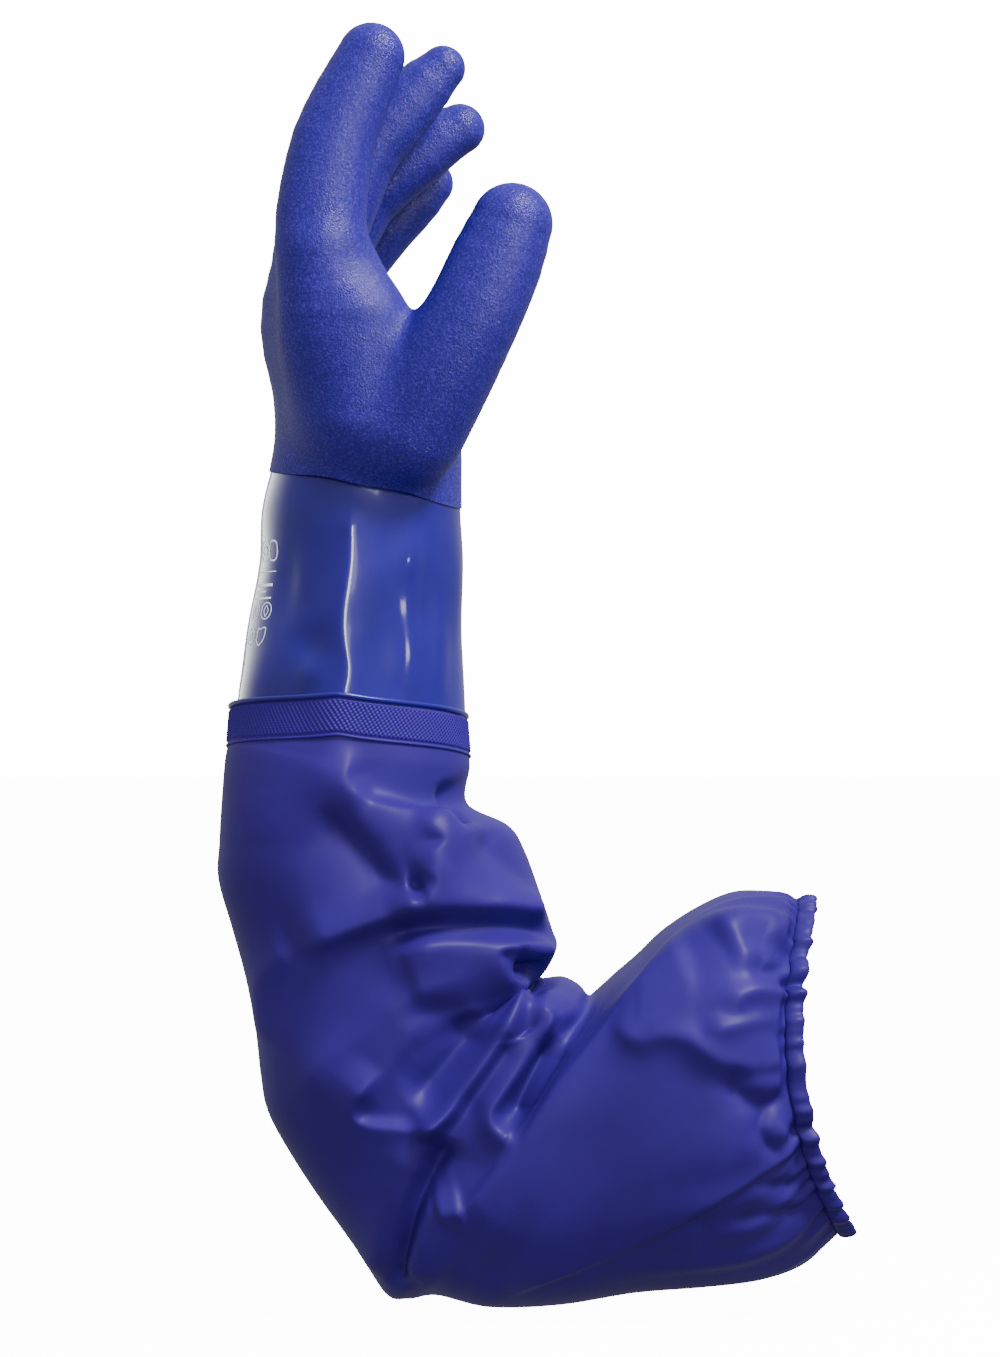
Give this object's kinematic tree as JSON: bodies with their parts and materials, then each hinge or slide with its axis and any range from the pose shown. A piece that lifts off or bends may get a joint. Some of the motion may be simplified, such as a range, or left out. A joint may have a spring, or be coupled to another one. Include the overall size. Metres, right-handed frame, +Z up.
{
  "type": "long sleeve protective glove",
  "caption": "Left-hand coated protective glove worn with curled fingers and a bent elbow, with a long loose sleeve welded to its cuff and an elastic hem at the arm opening.",
  "frame": {"origin": "centre of the arm opening, in the middle of the hem's width", "axes": "+Z up, from the elbow towards the hand; +X towards the side that the palm faces and that the arm opening faces; -Y the thumb's side"},
  "size_m": [0.29, 0.17, 0.5473],
  "materials": {
    "hand_coating": "grained matte PVC",
    "cuff_coating": "smooth glossy PVC",
    "sleeve_sheet": "thin satin PVC sheet",
    "weld": "knurled weld",
    "knit_liner": "seamless knit",
    "elastic": "woven elastic",
    "print_ink": "printed ink"
  },
  "bodies": {
    "upper_sleeve": {"hem_casing": "sleeve_sheet", "hem_weld_line": "sleeve_sheet", "hem_elastic": "elastic", "hem_elastic_join": "elastic", "upper_sleeve_tube": "sleeve_sheet", "upper_sleeve_lap": "sleeve_sheet"},
    "lower_sleeve": {"elbow_sleeve": "sleeve_sheet", "lower_sleeve_tube": "sleeve_sheet", "lower_sleeve_lap": "sleeve_sheet", "weld_band": "weld", "weld_band_edge": "weld", "cuff_bead": "cuff_coating", "cuff_coating": "cuff_coating", "cuff_liner": "knit_liner", "cuff_print": "print_ink", "coating_skirt": "hand_coating"},
    "hand": {"palm_coating": "hand_coating", "palm_liner": "knit_liner"},
    "index_base": {"index_coating_base": "hand_coating", "index_liner_base": "knit_liner"},
    "index_tip": {"index_coating_tip": "hand_coating", "index_liner_tip": "knit_liner"},
    "middle_base": {"middle_coating_base": "hand_coating", "middle_liner_base": "knit_liner"},
    "middle_tip": {"middle_coating_tip": "hand_coating", "middle_liner_tip": "knit_liner"},
    "ring_base": {"ring_coating_base": "hand_coating", "ring_liner_base": "knit_liner"},
    "ring_tip": {"ring_coating_tip": "hand_coating", "ring_liner_tip": "knit_liner"},
    "little_base": {"little_coating_base": "hand_coating", "little_liner_base": "knit_liner"},
    "little_tip": {"little_coating_tip": "hand_coating", "little_liner_tip": "knit_liner"},
    "thumb_base": {"thumb_coating_base": "hand_coating", "thumb_liner_base": "knit_liner"},
    "thumb_tip": {"thumb_coating_tip": "hand_coating", "thumb_liner_tip": "knit_liner"}
  },
  "joints": [
    {"name": "elbow", "type": "hinge", "parent": "upper_sleeve", "child": "lower_sleeve", "pos_m": [-0.182, 0, -0.043], "axis": [0, 1, 0], "range_deg": [-50, 20]},
    {"name": "wrist", "type": "hinge", "parent": "lower_sleeve", "child": "hand", "pos_m": [-0.2005, 0, 0.268], "axis": [0, 1, 0], "range_deg": [-35, 35], "stiffness_Nm_per_rad": 1.5},
    {"name": "index_base", "type": "hinge", "parent": "hand", "child": "index_base", "pos_m": [-0.221, -0.044, 0.344], "axis": [0, 1, 0], "range_deg": [-20, 35], "stiffness_Nm_per_rad": 0.3},
    {"name": "index_tip", "type": "hinge", "parent": "index_base", "child": "index_tip", "pos_m": [-0.21751, -0.044, 0.39388], "axis": [0, 1, 0], "range_deg": [-20, 40], "stiffness_Nm_per_rad": 0.3},
    {"name": "middle_base", "type": "hinge", "parent": "hand", "child": "middle_base", "pos_m": [-0.221, -0.0145, 0.349], "axis": [0, 1, 0], "range_deg": [-20, 35], "stiffness_Nm_per_rad": 0.3},
    {"name": "middle_tip", "type": "hinge", "parent": "middle_base", "child": "middle_tip", "pos_m": [-0.2039, -0.0145, 0.39598], "axis": [0, 1, 0], "range_deg": [-20, 40], "stiffness_Nm_per_rad": 0.3},
    {"name": "ring_base", "type": "hinge", "parent": "hand", "child": "ring_base", "pos_m": [-0.221, 0.0145, 0.342], "axis": [0, 1, 0], "range_deg": [-20, 35], "stiffness_Nm_per_rad": 0.3},
    {"name": "ring_tip", "type": "hinge", "parent": "ring_base", "child": "ring_tip", "pos_m": [-0.19206, 0.0145, 0.37904], "axis": [0, 1, 0], "range_deg": [-20, 40], "stiffness_Nm_per_rad": 0.3},
    {"name": "little_base", "type": "hinge", "parent": "hand", "child": "little_base", "pos_m": [-0.221, 0.0425, 0.33], "axis": [0, 1, 0], "range_deg": [-20, 35], "stiffness_Nm_per_rad": 0.3},
    {"name": "little_tip", "type": "hinge", "parent": "little_base", "child": "little_tip", "pos_m": [-0.19573, 0.0425, 0.35275], "axis": [0, 1, 0], "range_deg": [-20, 40], "stiffness_Nm_per_rad": 0.3},
    {"name": "thumb_base", "type": "hinge", "parent": "hand", "child": "thumb_base", "pos_m": [-0.167, -0.052, 0.305], "axis": [0, 1, 0], "range_deg": [-12, 15], "stiffness_Nm_per_rad": 0.4},
    {"name": "thumb_tip", "type": "hinge", "parent": "thumb_base", "child": "thumb_tip", "pos_m": [-0.15179, -0.052, 0.33763], "axis": [0, 1, 0], "range_deg": [-35, 5], "stiffness_Nm_per_rad": 0.4}
  ]
}
